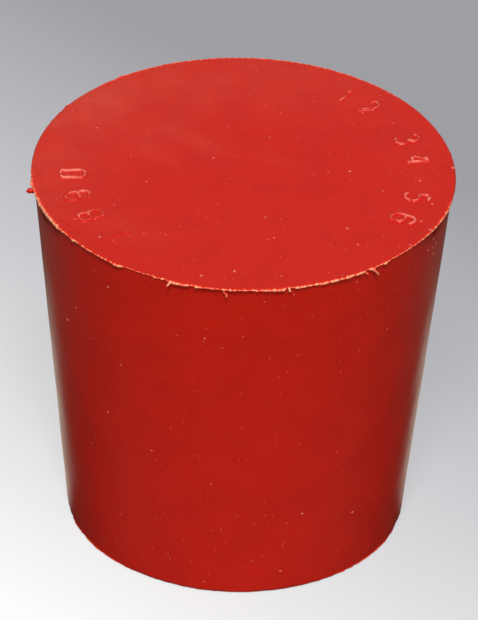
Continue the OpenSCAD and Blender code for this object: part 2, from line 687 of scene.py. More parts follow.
def shade_and_dirt_on_side(z, angle, spots):
    """How strong the painted shade under the flash is at each height and each angle, from 0 to 1; it also
    stands for dirt.

    It is a bump of the height times bumps round the plug, which ripples make patchy.
    """
    at_height = hump(z, TOP_Z - SHADE_AND_DIRT_DEPTH, SHADE_AND_DIRT_HALF)
    round_plug = sum(share * bell(angle, centre, half) for centre, half, share in SHADE_AND_DIRT)
    patchy = 1 + ripples(spots, (0.4 * MM, 3 * MM), 0.35, 17)
    return np.clip(at_height[:, None] * round_plug * patchy, 0, 1)


class STOPPER_OT_plug(bpy.types.Operator):
    """Build the tapered plug, with flat ends and a slightly uneven moulded skin"""

    bl_idname = "stopper.plug"
    bl_label = "Tapered Plug"

    def execute(self, context):
        """Turns the profile about the axis: a point is (r cos a, r sin a, z), and r and z ripple a little.

        The side ripples in and out, and the large face up and down. The small end's edge is a little
        ragged in its radius, over a short height, and is drawn out to its lip where that was left.
        """
        sizes = context.scene.stopper_sizes
        r, z = plug_profile(sizes)
        angle = even_turn(sizes.round_steps)
        ring_r, a = np.meshgrid(r, angle, indexing="ij")
        ring_z = np.repeat(z[:, None], len(angle), axis=1)
        spots = turned(ring_r, a, ring_z)
        on_side = (z > BASE_Z + 2 * sizes.foot_edge) & (z < TOP_Z - 0.2 * MM)
        on_top = z >= TOP_Z
        at_foot = hump(z, BASE_Z + sizes.foot_edge / 2, 0.35 * MM) * (z > BASE_Z)
        lip = foot_lip(z, angle)
        lip_r = plug_radii(sizes)[0] + (z - BASE_Z) * sizes.taper + FOOT_LIP_REACH
        ring_r = ring_r + on_side[:, None] * ripples(spots, (3 * MM, 14 * MM), 0.010 * MM, 11)
        ring_r = ring_r + at_foot[:, None] * ripples(spots, (0.5 * MM, 3 * MM), 0.017 * MM, 12)
        ring_r = ring_r + lip * (lip_r - r)[:, None]
        ring_z = ring_z + on_top[:, None] * face_ripples(spots)
        rings = turned(ring_r, a, ring_z)
        # Painted shade under the flash, which also stands for dirt there
        grime = on_side[:, None] * shade_and_dirt_on_side(z, angle, spots)
        low = (0.0, 0.0, BASE_Z)
        high = (0.0, 0.0, ring_z[-1].mean())
        points, quads, triangles = closed_tube(rings, low, high)
        make_piece(
            "plug",
            points,
            quads,
            triangles,
            bloom=pale_patches_on_face(points),
            # The lip's stretched colour, which also paints a highlight along the small end's edge
            torn=np.append(FOOT_LIP_TORN_AND_HIGHLIGHT * lip, (0, 0)),
            grime=np.append(grime, (0, 0)),
        )
        return {"FINISHED"}


# ---- The flash, its threads and its crumbs ----

# How the rim changes round the plug: (degrees, reach of the flash beyond the plug's edge, its thickness,
# how far its lip hangs, how pale the torn lip is, how ragged it is), with the lengths in millimetres.
# The paleness is also a painted highlight: it is highest along the front of the rim, which faces the lamps.
RIM = (
    (0.0, 0.16, 0.16, 0.06, 0.05, 0.1),
    (11.0, 0.16, 0.16, 0.06, 0.05, 0.1),
    (12.0, 0.21, 0.17, 0.06, 0.40, 0.2),
    (13.0, 0.16, 0.16, 0.06, 0.05, 0.1),
    (20.0, 0.17, 0.16, 0.05, 0.05, 0.1),
    (35.0, 0.18, 0.16, 0.00, 0.15, 0.1),
    (50.0, 0.22, 0.16, -0.05, 0.45, 0.1),
    (64.5, 0.22, 0.16, -0.05, 0.45, 0.1),
    (66.0, 0.26, 0.17, -0.07, 0.45, 0.2),
    (67.5, 0.22, 0.16, -0.05, 0.45, 0.1),
    (125.5, 0.23, 0.16, -0.05, 0.45, 0.1),
    (127.0, 0.30, 0.17, -0.09, 0.45, 0.2),
    (128.5, 0.23, 0.16, -0.05, 0.45, 0.1),
    (146.8, 0.24, 0.16, 0.02, 0.10, 0.1),
    (148.0, 0.30, 0.17, -0.01, 0.30, 0.2),
    (149.2, 0.24, 0.16, 0.02, 0.10, 0.1),
    (165.0, 0.20, 0.16, 0.07, 0.05, 0.1),
    (176.0, 0.17, 0.17, 0.07, 0.10, 0.1),
    (183.0, 0.18, 0.18, 0.02, 0.50, 0.1),
    (187.5, 0.26, 0.20, 0.02, 0.80, 0.1),
    (190.5, 0.26, 0.20, 0.03, 0.80, 0.1),
    (193.0, 0.20, 0.20, 0.02, 0.60, 0.1),
    (196.0, 0.23, 0.24, 0.05, 1.34, 0.3),
    (200.0, 0.25, 0.26, 0.06, 1.41, 0.4),
    (205.0, 0.25, 0.26, 0.06, 1.49, 0.4),
    (207.0, 0.21, 0.22, 0.04, 1.41, 0.4),
    (211.0, 0.21, 0.22, 0.03, 1.41, 0.4),
    (212.5, 0.18, 0.16, 0.01, 0.70, 0.3),
    (214.5, 0.17, 0.12, 0.00, 0.50, 0.3),
    (217.0, 0.15, 0.11, 0.01, 0.50, 0.2),
    (218.2, 0.18, 0.18, 0.02, 0.95, 0.3),
    (219.6, 0.14, 0.11, 0.00, 0.50, 0.3),
    (222.0, 0.14, 0.11, 0.01, 0.50, 0.3),
    (223.4, 0.17, 0.14, 0.01, 0.60, 0.3),
    (225.5, 0.14, 0.11, 0.00, 0.50, 0.3),
    (231.0, 0.14, 0.12, 0.01, 0.50, 0.3),
    (233.0, 0.17, 0.12, 0.02, 0.50, 0.3),
    (234.6, 0.23, 0.14, 0.06, 0.50, 0.3),
    (235.8, 0.20, 0.17, 0.03, 0.95, 0.3),
    (236.6, 0.12, 0.12, 0.00, 0.50, 0.4),
    (238.0, 0.05, 0.13, 0.00, 0.45, 0.9),
    (249.5, 0.05, 0.14, 0.00, 0.55, 0.9),
    (251.0, 0.18, 0.18, 0.03, 0.63, 0.5),
    (252.5, 0.25, 0.18, 0.03, 0.67, 0.4),
    (256.2, 0.23, 0.16, 0.00, 0.63, 0.4),
    (257.2, 0.08, 0.10, 0.00, 0.37, 0.3),
    (258.3, 0.26, 0.18, 0.04, 0.71, 0.3),
    (259.8, 0.23, 0.11, 0.02, 0.37, 0.2),
    (261.5, 0.25, 0.10, 0.01, 0.37, 0.2),
    (265.2, 0.25, 0.10, 0.01, 0.37, 0.2),
    (266.5, 0.25, 0.14, 0.01, 0.50, 0.3),
    (269.0, 0.24, 0.13, 0.01, 0.40, 0.3),
    (272.5, 0.21, 0.14, 0.00, 0.48, 0.5),
    (276.0, 0.23, 0.14, 0.01, 0.50, 0.5),
    (279.3, 0.25, 0.16, 0.03, 0.71, 0.5),
    (281.7, 0.25, 0.16, 0.08, 0.63, 0.3),
    (282.3, 0.04, 0.08, 0.00, 0.37, 0.1),
    (283.0, 0.04, 0.08, 0.00, 0.37, 0.1),
    (285.0, 0.16, 0.15, 0.01, 0.81, 0.6),
    (288.0, 0.14, 0.16, 0.00, 0.86, 0.7),
    (293.0, 0.18, 0.18, 0.01, 0.98, 0.6),
    (300.0, 0.18, 0.18, 0.01, 0.91, 0.5),
    (304.7, 0.19, 0.17, 0.01, 1.03, 0.4),
    (305.2, 0.04, 0.08, 0.00, 0.32, 0.2),
    (306.1, 0.03, 0.08, 0.00, 0.50, 0.2),
    (306.6, 0.16, 0.12, 0.00, 0.95, 0.3),
    (308.0, 0.21, 0.13, 0.02, 0.95, 0.3),
    (308.8, 0.13, 0.10, 0.00, 0.50, 0.3),
    (311.0, 0.13, 0.11, 0.00, 0.50, 0.3),
    (311.9, 0.19, 0.17, 0.02, 1.00, 0.3),
    (313.0, 0.14, 0.11, 0.00, 0.53, 0.3),
    (315.0, 0.09, 0.11, 0.00, 0.50, 0.5),
    (324.0, 0.09, 0.12, 0.00, 0.53, 0.5),
    (328.0, 0.15, 0.12, 0.00, 0.57, 0.3),
    (334.0, 0.18, 0.15, 0.00, 0.69, 0.2),
    (340.0, 0.20, 0.18, 0.01, 0.69, 0.1),
    (345.0, 0.20, 0.21, 0.02, 0.69, 0.1),
    (348.0, 0.18, 0.18, 0.01, 0.34, 0.1),
    (352.0, 0.16, 0.16, 0.06, 0.05, 0.1),
)

# Threads torn loose: (degrees round the plug, thickness at the root and at the tip as shares of the usual,
# how pale, which also paints their highlights, and three places that pull the thread's curve from its root:
# two handles and the tip), as (out, anticlockwise, up) in mm
THREADS = (
    (251.4, 1.5, 0.9, 0.75, (0.18, -0.06, -0.02), (0.34, -0.16, -0.10), (0.43, -0.24, -0.26)),
    (265.8, 0.7, 1.4, 0.35, (0.14, -0.25, -0.45), (0.14, 0.35, -0.25), (0.22, 0.11, -0.62)),
    (283.0, 1.4, 1.1, 0.80, (0.10, 0.00, -0.05), (0.13, 0.03, -0.18), (0.12, 0.06, -0.30)),
    (300.1, 0.9, 0.8, 0.25, (0.10, 0.04, -0.06), (0.10, 0.08, -0.12), (0.09, 0.11, -0.22)),
    (305.0, 1.0, 0.7, 0.30, (0.12, 0.06, -0.04), (0.20, 0.14, -0.16), (0.23, 0.26, -0.34)),
    (307.2, 1.6, 0.8, 0.60, (0.24, 0.10, 0.00), (0.34, 0.30, -0.22), (0.32, 0.54, -0.60)),
)

# Crumbs that cling to the flash: (degrees round the plug, distance out from the large end, distance down
# from its face, how pale, which also paints their highlights, and half sizes out, round and up), with the
# lengths in millimetres
CRUMBS = (
    (191.7, 0.44, 0.16, 0.0, (0.30, 0.21, 0.22)),
    (188.8, 0.22, 0.10, 0.8, (0.14, 0.28, 0.10)),
    (258.3, 0.16, 0.09, 0.9, (0.09, 0.15, 0.09)),
    (281.5, 0.14, 0.16, 0.9, (0.08, 0.13, 0.09)),
    (311.9, 0.13, 0.08, 0.9, (0.08, 0.13, 0.09)),
)


# How far, in degrees, the rim's table is averaged to each side
RIM_SOFTNESS = 0.35


def round_the_rim(angle, column):
    """One column of the rim's table at every angle: straight lines between its rows, softened."""
    places, values = np.array(RIM)[:, (0, column)].T
    slide = np.linspace(-RIM_SOFTNESS, RIM_SOFTNESS, 7)
    slid = [np.interp(np.degrees(angle) + step, places, values, period=360) for step in slide]
    return np.mean(slid, axis=0)


def flash_section(reach, thickness, droop):
    """Half of a thin lens, from its buried root out along its top, round the torn lip and back underneath.

    Each row gives a point's distance out from the large end, its height above the large face, how torn
    and pale it is, which also paints the lip's highlight, and how much it frays. The lip stands out by the
    reach, and hangs by the droop. Where it turns up instead, the film dips a little inside it.
    """
    dip = 0.3 * np.maximum(-droop, 0)
    rows = (
        (-0.80 * MM, -0.080 * MM, 0.0, 0.0),
        (-0.75 * MM, -0.004 * MM, 0.0, 0.0),
        (-0.45 * MM, 0.002 * MM, 0.0, 0.0),
        (-0.20 * MM, 0.003 * MM, 0.0, 0.1),
        (-0.07 * MM, 0.003 * MM - 0.2 * dip, 0.0, 0.5),
        (0.30 * reach, 0.001 * MM - dip, 0.15, 0.8),
        (0.68 * reach, -0.05 * thickness - 0.4 * droop, 0.5, 0.9),
        (0.90 * reach, -0.20 * thickness - 0.8 * droop, 1.0, 1.0),
        (1.00 * reach, -0.42 * thickness - droop, 1.0, 1.0),
        (1.00 * reach, -0.64 * thickness - droop, 0.6, 1.0),
        (0.93 * reach, -0.86 * thickness - droop, 0.2, 0.9),
        (0.72 * reach, -0.98 * thickness - 0.9 * droop, 0.0, 0.7),
        (0.35 * reach, -1.00 * thickness - 0.4 * droop, 0.0, 0.4),
        (-0.03 * MM, -1.02 * thickness, 0.0, 0.2),
        (-0.25 * MM, -1.00 * thickness, 0.0, 0.0),
        (-0.70 * MM, -0.90 * thickness, 0.0, 0.0),
    )
    steps = np.ones(len(reach))
    return (np.stack([row[item] * steps for row in rows]) for item in range(4))


class STOPPER_OT_flash(bpy.types.Operator):
    """Build the thin torn flash round the large end"""

    bl_idname = "stopper.flash"
    bl_label = "Moulding Flash"

    def execute(self, context):
        """Carries the flash's section round the rim, and changes its reach, thickness and droop on the way.

        Each comes from the rim's table, plus a random wavy line. The torn part of the section is then
        frayed by fine ripples in its radius and height, as far as the rim is ragged there.
        """
        sizes = context.scene.stopper_sizes
        large_r = plug_radii(sizes)[1]
        angle = even_turn(sizes.flash_steps)
        reach, thickness, droop, pale, ragged = (round_the_rim(angle, column) for column in range(1, 6))
        wander = 0.3 + ragged
        reach = reach * MM * (1 + waves(angle, 12, 240, 0.10, 21) * wander)
        thickness = thickness * MM * (1 + waves(angle, 12, 300, 0.10, 22) * wander)
        droop = (droop + waves(angle, 8, 160, 0.010, 23) * wander) * MM
        reach = np.maximum(reach * sizes.flash_width / FLASH_WIDTH, 0.02 * MM)
        thickness = np.maximum(thickness * sizes.flash_thickness / FLASH_THICKNESS, 0.07 * MM)
        out, up, torn, fray = flash_section(reach, thickness, droop)
        a = np.repeat(angle[None, :], len(out), axis=0)
        r = large_r + out
        z = TOP_Z + up
        spots = turned(r, a, z)
        z = z + face_ripples(spots)
        fray = fray * (0.08 + ragged)
        r = r + fray * ripples(spots, (0.16 * MM, 0.7 * MM), 0.022 * MM, 24, 60)
        z = z + fray * ripples(spots, (0.16 * MM, 0.7 * MM), 0.020 * MM, 25, 60)
        points = turned(r, a, z).reshape(-1, 3)
        quads = grid_quads(len(out), len(angle), True)
        # The torn lip's paleness, which also paints its highlight along the front of the rim
        pale = pale * np.maximum(1 + waves(angle, 60, 420, 0.50, 26, 0.2), 0.4)
        torn = np.clip(torn * pale[None, :], 0, 1)
        make_piece("moulding_flash", points, quads, NO_TRIANGLES, torn=torn, bloom=pale_patches_on_face(points))
        return {"FINISHED"}


def rim_axes(turn):
    """The directions out, anticlockwise and up at an angle round the rim in degrees, as rows."""
    a = math.radians(turn)
    return np.array([[math.cos(a), math.sin(a), 0], [-math.sin(a), math.cos(a), 0], [0, 0, 1]])


def rim_place(turn, out, up, large_r):
    """A point by its degrees round the plug, and its distances out and up from the large end's edge."""
    return np.array([large_r + out, 0.0, TOP_Z + up]) @ rim_axes(turn)


# Points along a thread, and sides of its section
THREAD_ROWS = 30
THREAD_SIDES = 12


def thread_tube(turn, root_share, tip_share, pulls, sizes, seed):
    """A thread: a knobbly round section carried along a bent line, which thins or thickens to its tip.

    The line is the cubic curve 3 s (1 - s)^2 first + 3 s^2 (1 - s) second + s^3 third pull from its root,
    for s from 0 to 1, and the section's radius changes with s and closes on the line's two ends.
    """
    large_r = plug_radii(sizes)[1]
    s = eased(THREAD_ROWS)
    axes = rim_axes(turn)
    pull = np.array(pulls) * MM @ axes
    weight = np.stack([3 * s * (1 - s) ** 2, 3 * s**2 * (1 - s), s**3], -1)
    line_3d = rim_place(turn, 0.02 * MM, -0.07 * MM, large_r) + weight @ pull
    along = unit(np.gradient(line_3d, s, axis=0))
    side = unit(np.cross(along, axes[0] + 0.3 * axes[1]))
    other = np.cross(along, side)
    rng = np.random.default_rng(seed)
    knobs = 1 + 0.16 * np.sin(s * rng.uniform(9, 16) + rng.uniform(0, TAU))
    ends = np.sqrt(np.clip(1 - (2 * s - 1) ** 8, 0, 1))
    share = root_share + (tip_share - root_share) * s
    radius = sizes.thread_width / 2 * share * knobs * ends
    round_section = even_turn(THREAD_SIDES)[None, :, None]
    ring = np.cos(round_section) * side[:, None] + np.sin(round_section) * other[:, None]
    points = line_3d[:, None] + radius[:, None, None] * ring
    return closed_tube(points[1:-1], line_3d[0], line_3d[-1])


class STOPPER_OT_threads(bpy.types.Operator):
    """Build the threads of rubber that hang torn from the flash"""

    bl_idname = "stopper.threads"
    bl_label = "Torn Threads"

    def execute(self, context):
        """Joins the threads' tubes, and makes each as pale as the table says, give or take some ripples;
        the paleness also paints their highlights.
        """
        sizes = context.scene.stopper_sizes
        parts = []
        for turn, root_share, tip_share, _, *pulls in THREADS:
            parts.append(thread_tube(turn, root_share, tip_share, pulls, sizes, 40 + len(parts)))
        points, quads, triangles = joined(parts)
        pale = for_each_point([thread[3] for thread in THREADS], parts)
        torn = np.clip(pale * (1 + ripples(points, (0.2 * MM, 0.8 * MM), 0.25, 41)), 0, 1)
        make_piece("torn_threads", points, quads, triangles, torn=torn)
        return {"FINISHED"}


# Rings of a crumb's ball, with its poles, and sides of each ring
CRUMB_ROWS = 14
CRUMB_SIDES = 18


def crumb_ball(turn, out, down, half, large_r, seed):
    """A crumb: a ball squeezed to three half sizes, with its radius rippled, turned to face outwards.

    With u from pole to pole and v round them, a point is (sin u cos v, sin u sin v, cos u) times the
    half sizes times the ripples.
    """
    u, v = np.meshgrid(np.linspace(0, math.pi, CRUMB_ROWS)[1:-1], even_turn(CRUMB_SIDES), indexing="ij")
    ball = turned(np.sin(u), v, np.cos(u))
    poles = np.array([[0, 0, 1.0], [0, 0, -1.0]])
    points = np.concatenate([ball.reshape(-1, 3), poles])
    size = 1 + ripples(points, (0.7, 2.5), 0.13, seed)
    points = points * size[:, None] * (np.array(half) * MM)
    points = points @ rim_axes(turn) + rim_place(turn, out * MM, -down * MM, large_r)
    return closed_tube(points[:-2].reshape(ball.shape), points[-2], points[-1])


class STOPPER_OT_crumbs(bpy.types.Operator):
    """Build the crumbs of rubber that cling to the flash"""

    bl_idname = "stopper.crumbs"
    bl_label = "Clinging Crumbs"

    def execute(self, context):
        """Joins the crumbs' balls, and makes each as pale as the table says, give or take some ripples; the
        paleness also paints their highlights.
        """
        large_r = plug_radii(context.scene.stopper_sizes)[1]
        parts = []
        for turn, out, down, _, half in CRUMBS:
            parts.append(crumb_ball(turn, out, down, half, large_r, 60 + len(parts)))
        points, quads, triangles = joined(parts)
        pale = for_each_point([crumb[3] for crumb in CRUMBS], parts)
        torn = np.clip(pale * (1 + ripples(points, (0.2 * MM, 0.8 * MM), 0.15, 61)), 0, 1)
        make_piece("clinging_crumbs", points, quads, triangles, torn=torn)
        return {"FINISHED"}


# ---- The dust ----

# The larger flecks of dust: (degrees round the plug, distance from the axis in mm, half width in mm, how
# pale) on the large face, and the same with the height above the small end in mm on the side
TOP_FLECKS = (
    (2.5, 8.0, 0.12, 0.9), (258.5, 14.6, 0.11, 0.9), (268.0, 13.6, 0.11, 0.8), (316.5, 10.8, 0.11, 0.7),
    (357.0, 13.3, 0.11, 0.7), (154.0, 12.5, 0.11, 0.6), (285.0, 9.3, 0.10, 0.6), (208.0, 10.9, 0.10, 0.5),
    (143.0, 2.9, 0.10, 0.5), (285.0, 6.5, 0.10, 0.5), (1.0, 6.4, 0.09, 0.5), (33.0, 13.4, 0.10, 0.5),
    (194.0, 7.5, 0.10, 0.4), (312.0, 12.9, 0.10, 0.5), (282.0, 14.4, 0.09, 0.4), (348.0, 10.7, 0.09, 0.4),
    (222.0, 14.2, 0.11, 0.7), (345.0, 14.7, 0.11, 0.6), (335.0, 14.7, 0.10, 0.6), (10.5, 14.0, 0.14, 0.8),
    (4.5, 15.85, 0.12, 0.9), (323.0, 15.7, 0.10, 0.6), (332.5, 15.8, 0.12, 0.6), (210.0, 14.4, 0.10, 0.5),
)
SIDE_FLECKS = (
    (210.5, 21.2, 0.11, 0.8), (234.0, 20.3, 0.11, 0.8), (316.5, 23.1, 0.11, 0.8), (231.0, 27.3, 0.11, 0.8),
    (286.0, 2.1, 0.11, 0.7), (311.5, 5.9, 0.11, 0.7), (335.5, 28.7, 0.15, 0.9), (284.5, 29.2, 0.09, 0.4),
    (292.0, 7.5, 0.11, 0.6), (315.5, 25.5, 0.10, 0.5), (260.5, 25.0, 0.10, 0.5), (303.0, 29.1, 0.09, 0.4),
    (338.2, 27.8, 0.14, 0.7), (336.0, 27.8, 0.11, 0.8), (332.7, 28.1, 0.11, 0.6), (337.6, 26.9, 0.10, 0.6),
    (216.0, 23.2, 0.10, 0.5), (243.5, 13.0, 0.10, 0.5), (227.5, 14.9, 0.10, 0.5), (276.5, 28.7, 0.08, 0.4),
)

# Half of a fleck's thickness, in millimetres
FLECK_FLAT = 0.025


class STOPPER_OT_dust(bpy.types.Operator):
    """Build the larger flecks of dust that lie on the rubber"""

    bl_idname = "stopper.dust"
    bl_label = "Dust Flecks"

    def execute(self, context):
        """Each fleck is a crumb's ball, squeezed flat against the face or the side that it lies on."""
        sizes = context.scene.stopper_sizes
        large_r = plug_radii(sizes)[1]
        flecks = []
        for turn, radius, half, _ in TOP_FLECKS:
            flecks.append((turn, radius - large_r / MM, 0.0, (half, half, FLECK_FLAT)))
        for turn, height, half, _ in SIDE_FLECKS:
            down = TOP_Z / MM - height
            flecks.append((turn, -down * sizes.taper, down, (FLECK_FLAT, half, half)))
        parts = [crumb_ball(*fleck, large_r, 120 + number) for number, fleck in enumerate(flecks)]
        points, quads, triangles = joined(parts)
        dusty = for_each_point([fleck[3] for fleck in TOP_FLECKS + SIDE_FLECKS], parts)
        make_piece("dust_flecks", points, quads, triangles, dusty=dusty)
        return {"FINISHED"}


# ---- The raised digits ----


# Points along a straight stroke, and along a curved one
LINE_POINTS = 22
ARC_POINTS = 40


def line(x0, y0, x1, y1):
    """A straight stroke from one point to another, its points closer together near its ends."""
    s = eased(LINE_POINTS)
    return np.stack([x0 + (x1 - x0) * s, y0 + (y1 - y0) * s], -1)


def arc(x, y, across, up, start, end):
    """A stroke along an ellipse about (x, y), from one angle to another in degrees."""
    s = eased(ARC_POINTS)
    turn = np.radians(start + (end - start) * s)
    return np.stack([x + across * np.cos(turn), y + up * np.sin(turn)], -1)


def path(*parts):
    """Several strokes as one, each starting where the one before ends."""
    return np.concatenate([parts[0]] + [part[1:] for part in parts[1:]])


def bowl(top):
    """A closed stroke: two straight sides up to the top given, and half ellipses that close both ends."""
    return path(
        arc(0.5, top, 0.4, 0.12, 90, 180),
        line(0.1, top, 0.1, 0.12),
        arc(0.5, 0.12, 0.4, 0.12, 180, 360),
        line(0.9, 0.12, 0.9, top),
        arc(0.5, top, 0.4, 0.12, 0, 90),
    )


LOW_BOWL = bowl(0.44)
HIGH_BOWL = LOW_BOWL * (1, 0.8) + (0, 0.552)
# Strokes of each digit in a box 1 wide and 1 high, with its middle at (0.5, 0.5)
DIGITS = {
    "0": (bowl(0.88),),
    "1": (line(0.55, 0.0, 0.55, 1.0), line(0.25, 0.78, 0.55, 1.0)),
    "2": (
        path(arc(0.5, 0.74, 0.4, 0.26, 170, 0), line(0.9, 0.74, 0.86, 0.58), line(0.86, 0.58, 0.1, 0.0)),
        line(0.1, 0.0, 0.9, 0.0),
    ),
    "3": (
        path(arc(0.5, 0.78, 0.36, 0.22, 160, 0), arc(0.5, 0.78, 0.36, 0.24, 360, 270)),
        path(arc(0.5, 0.28, 0.4, 0.26, 90, 0), arc(0.5, 0.28, 0.4, 0.28, 360, 200)),
    ),
    "4": (line(0.72, 0.0, 0.72, 1.0), line(0.66, 1.0, 0.08, 0.34), line(0.08, 0.30, 0.98, 0.30)),
    "5": (
        line(0.85, 1.0, 0.15, 1.0),
        line(0.13, 0.96, 0.13, 0.58),
        path(
            arc(0.5, 0.40, 0.4, 0.20, 150, 0),
            line(0.9, 0.40, 0.9, 0.24),
            arc(0.5, 0.24, 0.4, 0.24, 0, -160),
        ),
    ),
    "6": (LOW_BOWL, path(line(0.1, 0.40, 0.1, 0.74), arc(0.5, 0.74, 0.4, 0.26, 180, 20))),
    "7": (line(0.06, 1.0, 0.94, 1.0), line(0.94, 1.0, 0.40, 0.0)),
    "8": (LOW_BOWL, HIGH_BOWL),
    "9": (1 - LOW_BOWL, path(line(0.9, 0.60, 0.9, 0.26), arc(0.5, 0.26, 0.4, 0.26, 0, -160))),
    ".": (line(0.45, 0.5, 0.55, 0.5),),
}

# Where each digit or raised dot stands: (digit, degrees round the plug, distance of its middle from the
# axis in millimetres, relief as a share of the usual). They read clockwise with their heads outwards.
MARKS = (
    ("1", 55.0, 13.3, 0.8),
    ("2", 45.0, 13.3, 0.8),
    (".", 33.0, 13.3, 1.0),
    ("3", 22.0, 13.3, 1.0),
    ("4", 9.5, 13.3, 1.0),
    (".", 358.0, 13.3, 1.0),
    ("5", 347.0, 13.4, 1.1),
    ("6", 333.6, 13.4, 1.1),
    ("7", 226.0, 12.9, 0.6),
    ("8", 210.5, 13.1, 0.9),
    ("9", 198.0, 13.0, 1.0),
    ("0", 184.7, 12.9, 1.1),
)

# Half section of a stroke, as shares of its half width and of its relief: a round ridge, with its foot in
# the face
STROKE_SECTION = (
    (1.04, -0.25),
    (0.95, 0.0),
    (0.80, 0.28),
    (0.62, 0.54),
    (0.44, 0.74),
    (0.25, 0.89),
    (0.10, 0.97),
    (0.0, 1.0),
)
# The point that closes the section inside the face
SECTION_BASE = (0.0, -0.35)


def stroke_ridge(stroke, turn, middle_r, share, sizes, seed):
    """A raised stroke: a low round ridge carried along the stroke on the large face.

    The ridge's size falls to nothing at both ends by a rounded curve, and its height ripples along the
    stroke, as if the mould were worn.
    """
    flat = (stroke - 0.5) * (sizes.digit_width, sizes.digit_height)
    outward, anticlockwise, upward = rim_axes(turn)
    line_3d = (flat[:, 1:] + middle_r * MM) * outward - flat[:, :1] * anticlockwise + TOP_Z * upward
    side = np.cross(upward, unit(np.gradient(line_3d, axis=0)))
    step = np.linalg.norm(np.diff(line_3d, axis=0), axis=1)
    run = np.concatenate([[0], np.cumsum(step)])
    half = sizes.digit_stroke / 2
    to_end = np.minimum(run, run[-1] - run)
    ends = np.sqrt(np.clip(1 - (1 - np.clip(to_end / half, 0, 1)) ** 2, 0, 1))
    worn = share * (1 + ripples(line_3d, (0.35 * MM, 2.0 * MM), 0.15, seed))
    right = np.array(STROKE_SECTION)
    left = right[-2::-1] * (-1, 1)
    section = np.concatenate([right, left, [SECTION_BASE]])
    across = (half * ends)[:, None, None] * section[None, :, :1] * side[:, None]
    height = (sizes.digit_relief * ends * worn)[:, None, None] * section[None, :, 1:] * upward
    points = line_3d[:, None] + across + height
    return closed_tube(points[1:-1], line_3d[0], line_3d[-1])


# How pale the crests of the digits are on average: dust, and a painted highlight along the raised strokes
CREST_DUST_AND_HIGHLIGHT_SHARE = 0.62


class STOPPER_OT_digits(bpy.types.Operator):
    """Build the small raised digits on the large end's face"""

    bl_idname = "stopper.digits"
    bl_label = "Raised Digits"

    def execute(self, context):
        """Joins the ridges of every stroke, and makes them paler towards their crests, in patches: dust and
        a painted highlight.
        """
        sizes = context.scene.stopper_sizes
        parts = []
        for digit, turn, middle_r, share in MARKS:
            for stroke in DIGITS[digit]:
                parts.append(stroke_ridge(stroke, turn, middle_r, share, sizes, 80 + len(parts)))
        points, quads, triangles = joined(parts)
        crest = np.clip((points[:, 2] - TOP_Z) / sizes.digit_relief * 2 - 1, 0, 1)
        # Paler crests: dust, and a painted highlight along the strokes
        crest_dust_and_highlight = np.clip(CREST_DUST_AND_HIGHLIGHT_SHARE + ripples(points, (0.4 * MM, 2.5 * MM), 0.35, 79), 0, 1)
        make_piece("raised_digits", points, quads, triangles, dusty=crest * crest_dust_and_highlight)
        return {"FINISHED"}


# ---- The stage ----

# Share of the paper's light, as the camera sees it, that doesn't depend on the lamps
GLOW_SHARE = 0.8
# The paper's tone as the camera sees it, this many millimetres behind the axis, and how much darker each
# millimetre away from the camera and each millimetre to the right makes it
TONE = 0.769
TONE_BEHIND = 25.0
TONE_AWAY = 0.00407
TONE_RIGHT = 0.00348


def shown_paper(shader, x, y):
    """The paper's colour as the camera sees it, at places in millimetres.

    Its tone falls evenly with the distance away and to the right, within limits, and its grey is the tone
    to the power 2.2. Where it is less pale it is a little blue.
    """
    across = x.clamp(-60.0, 60.0)
    away = (y - TONE_BEHIND).clamp(-60.0, 90.0)
    tone = (TONE - away * TONE_AWAY - across * TONE_RIGHT).clamp(0.62, 0.99)
    grey = tone**2.2
    return shader.rgb(grey, grey, grey * (1.06 - 0.06 * tone.smooth(0.72, 0.95)))


def unseen_paper(shader, x, y):
    """The paper's colour as the object sees it, at places in millimetres.

    It is pale in a wedge that widens behind the object and is a little wider close by, dim in front, and
    nearly dark to the sides and far off.
    """
    wide = abs(x + 0.4)
    forward = (0 - y).clamp(0.0, 60.0)
    distance = (x * x + y * y) ** 0.5
    far = distance.smooth(20.0, 42.0)
    close = 1 - distance.smooth(14.0, 24.0)
    behind = 1 - (wide - y * 0.7 + forward * 0.7 - close * 1.4).smooth(11.2, 15.7)
    front = (1 - far) * (1 - y.smooth(-14.0, -6.0))
    light = (1 - far) * behind + front * 0.12 + far * 0.06 + 0.06
    return shader.rgb(light, light, light * 0.8 + front * 0.04)


def floor_material():
    """Pale graduated paper, which lights the object less than it shows."""
    material = bpy.data.materials.new("graduated_paper")
    shader = Shader(material)
    place = shader.node("ShaderNodeTexCoord").out("Object")
    axes = shader.node("ShaderNodeSeparateXYZ", None, {0: place})
    x, y = axes.out("X") / MM, axes.out("Y") / MM
    seen = shader.node("ShaderNodeLightPath").out("Is Camera Ray")
    colour = shader.mix(seen, unseen_paper(shader, x, y), shown_paper(shader, x, y))
    paper = shader.node("ShaderNodeBsdfDiffuse", None, {"Color": colour})
    glow = shader.node("ShaderNodeEmission", None, {"Color": colour, "Strength": 1.0})
    inputs = {0: seen * GLOW_SHARE, 1: paper.out(), 2: glow.out()}
    surface = shader.node("ShaderNodeMixShader", None, inputs).out()
    shader.node("ShaderNodeOutputMaterial", None, {"Surface": surface})
    return material


# Distance from each lamp to the point that it faces
LAMP_DISTANCE = 1.5


def add_lamp(name, azimuth, elevation, size, power, aim):
    """A square soft lamp that faces the aim from an azimuth and elevation in degrees."""
    a, e = math.radians(azimuth), math.radians(elevation)
    away = Vector((math.cos(a) * math.cos(e), math.sin(a) * math.cos(e), math.sin(e)))
    data = bpy.data.lights.new(name, "AREA")
    data.shape = "SQUARE"
    data.size = size
    data.energy = power
    lamp = bpy.data.objects.new(name, data)
    lamp.location = aim + away * LAMP_DISTANCE
    lamp.rotation_euler = away.to_track_quat("Z", "Y").to_euler()
    lamp.visible_camera = False
    bpy.context.scene.collection.objects.link(lamp)


